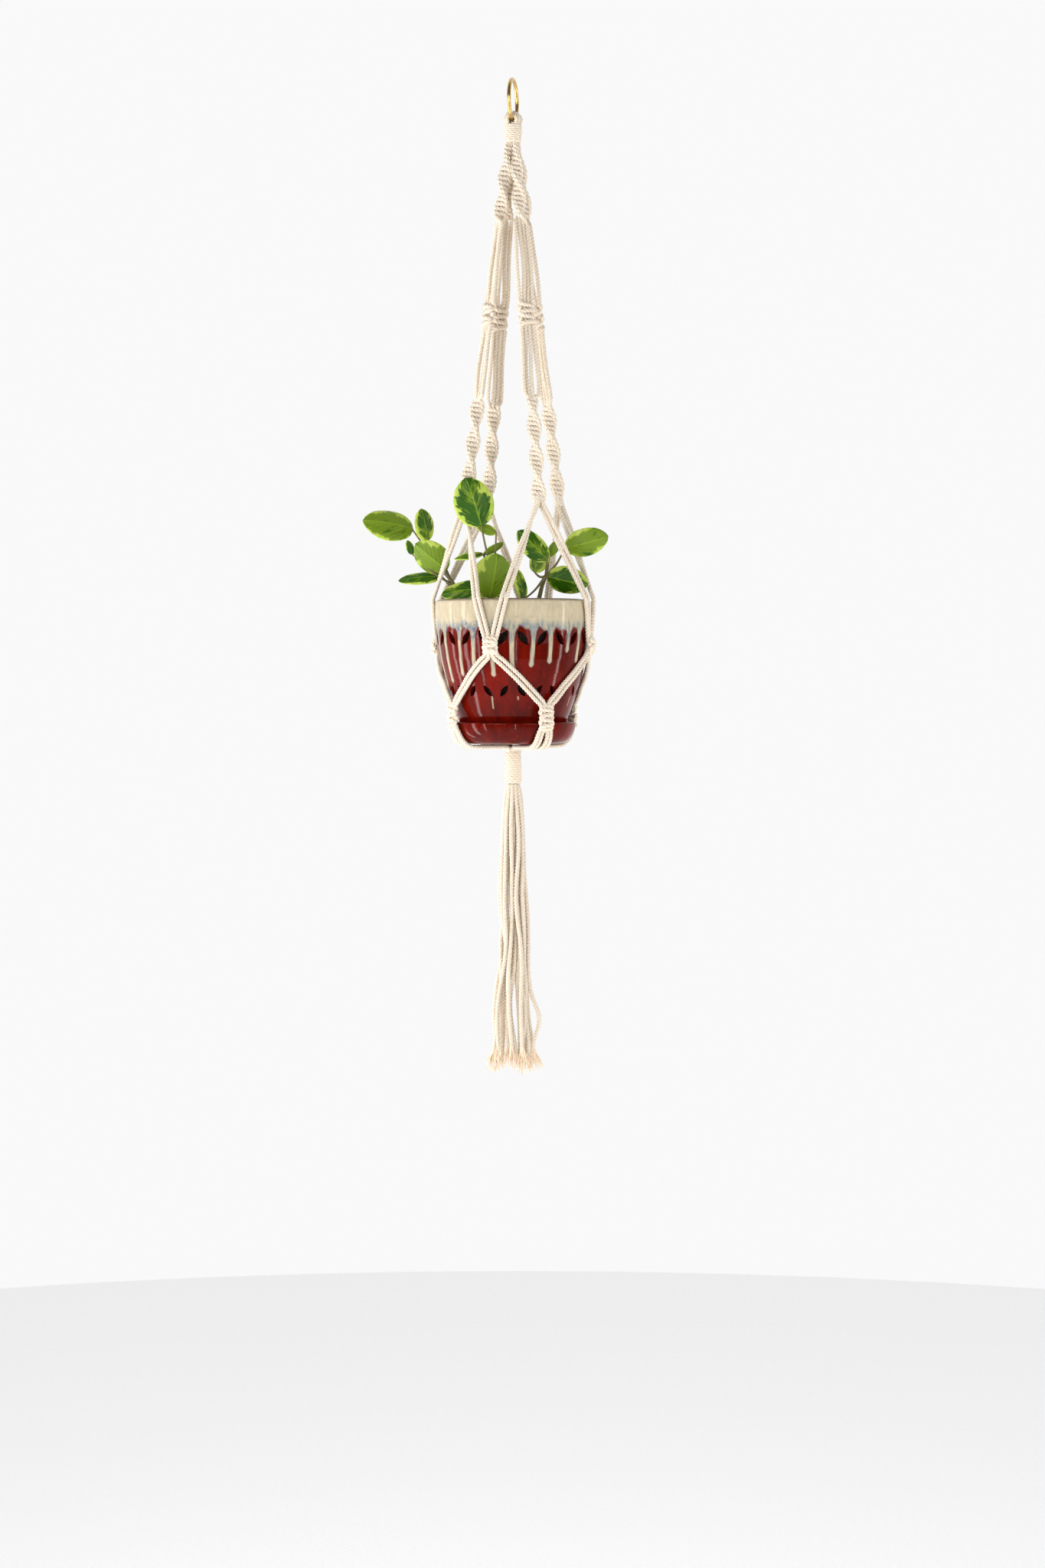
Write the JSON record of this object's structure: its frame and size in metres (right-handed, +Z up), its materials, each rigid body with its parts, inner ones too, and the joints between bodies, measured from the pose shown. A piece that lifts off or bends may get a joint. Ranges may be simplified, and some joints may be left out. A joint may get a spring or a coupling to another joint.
{
  "type": "hanging planter",
  "caption": "Macrame plant hanger of twisted cotton cord on a brass ring, holding a pierced oxblood-glazed pot with a saucer and a variegated plant, with a long tassel.",
  "frame": {"origin": "the hang point, at the middle of the ring's inner top, where the hook or pole that carries the planter touches it", "axes": "+Z is up, +X is to the right as seen from the front, and the front faces -Y"},
  "size_m": [0.2586, 0.176, 1.0374],
  "materials": {
    "brass": "polished",
    "cotton_cord": "twisted cord",
    "glazed_pot": "gloss",
    "glazed_saucer": "gloss",
    "potting_soil": "crumbly",
    "leaves": "waxy"
  },
  "bodies": {
    "ring": {"hanging_ring": "brass"},
    "crown": {"top_loops": "cotton_cord", "top_wrap": "cotton_cord"},
    "sling": {"base_gather": "cotton_cord", "upper_sinnet_a": "cotton_cord", "upper_run_a": "cotton_cord", "mid_knot_a": "cotton_cord", "lower_run_a": "cotton_cord", "lower_sinnet_a": "cotton_cord", "net_leg_a1": "cotton_cord", "net_leg_a2": "cotton_cord", "join_knot_a": "cotton_cord", "net_tie_a1": "cotton_cord", "net_tie_a2": "cotton_cord", "base_knot_a": "cotton_cord", "under_run_a": "cotton_cord", "upper_sinnet_b": "cotton_cord", "upper_run_b": "cotton_cord", "mid_knot_b": "cotton_cord", "lower_run_b": "cotton_cord", "lower_sinnet_b": "cotton_cord", "net_leg_b1": "cotton_cord", "net_leg_b2": "cotton_cord", "join_knot_b": "cotton_cord", "net_tie_b1": "cotton_cord", "net_tie_b2": "cotton_cord", "base_knot_b": "cotton_cord", "under_run_b": "cotton_cord", "upper_sinnet_c": "cotton_cord", "upper_run_c": "cotton_cord", "mid_knot_c": "cotton_cord", "lower_run_c": "cotton_cord", "lower_sinnet_c": "cotton_cord", "net_leg_c1": "cotton_cord", "net_leg_c2": "cotton_cord", "join_knot_c": "cotton_cord", "net_tie_c1": "cotton_cord", "net_tie_c2": "cotton_cord", "base_knot_c": "cotton_cord", "under_run_c": "cotton_cord", "upper_sinnet_d": "cotton_cord", "upper_run_d": "cotton_cord", "mid_knot_d": "cotton_cord", "lower_run_d": "cotton_cord", "lower_sinnet_d": "cotton_cord", "net_leg_d1": "cotton_cord", "net_leg_d2": "cotton_cord", "join_knot_d": "cotton_cord", "net_tie_d1": "cotton_cord", "net_tie_d2": "cotton_cord", "base_knot_d": "cotton_cord", "under_run_d": "cotton_cord", "pot": "glazed_pot", "saucer": "glazed_saucer", "root_ball": "potting_soil", "plant_left": "leaves", "plant_middle": "leaves", "plant_right": "leaves"},
    "neck": {"tassel_wrap": "cotton_cord"},
    "tassel_bundle": {"tassel": "cotton_cord"}
  },
  "joints": [
    {"name": "ring_slide", "type": "hinge", "parent": "ring", "child": "crown", "pos_m": [0, 0, -0.019], "axis": [0.9799, -0.1994, 0], "range_deg": [-25, 25]},
    {"name": "sling_swing", "type": "hinge", "parent": "crown", "child": "sling", "pos_m": [0, 0, -0.0655], "axis": [0.1994, 0.9799, 0], "range_deg": [-12, 12]},
    {"name": "neck_swing", "type": "hinge", "parent": "sling", "child": "neck", "pos_m": [0, 0, -0.698], "axis": [1, 0, 0], "range_deg": [-25, 25]},
    {"name": "tassel_swing", "type": "hinge", "parent": "neck", "child": "tassel_bundle", "pos_m": [0, 0, -0.7351], "axis": [0, 1, 0], "range_deg": [-25, 25]}
  ]
}
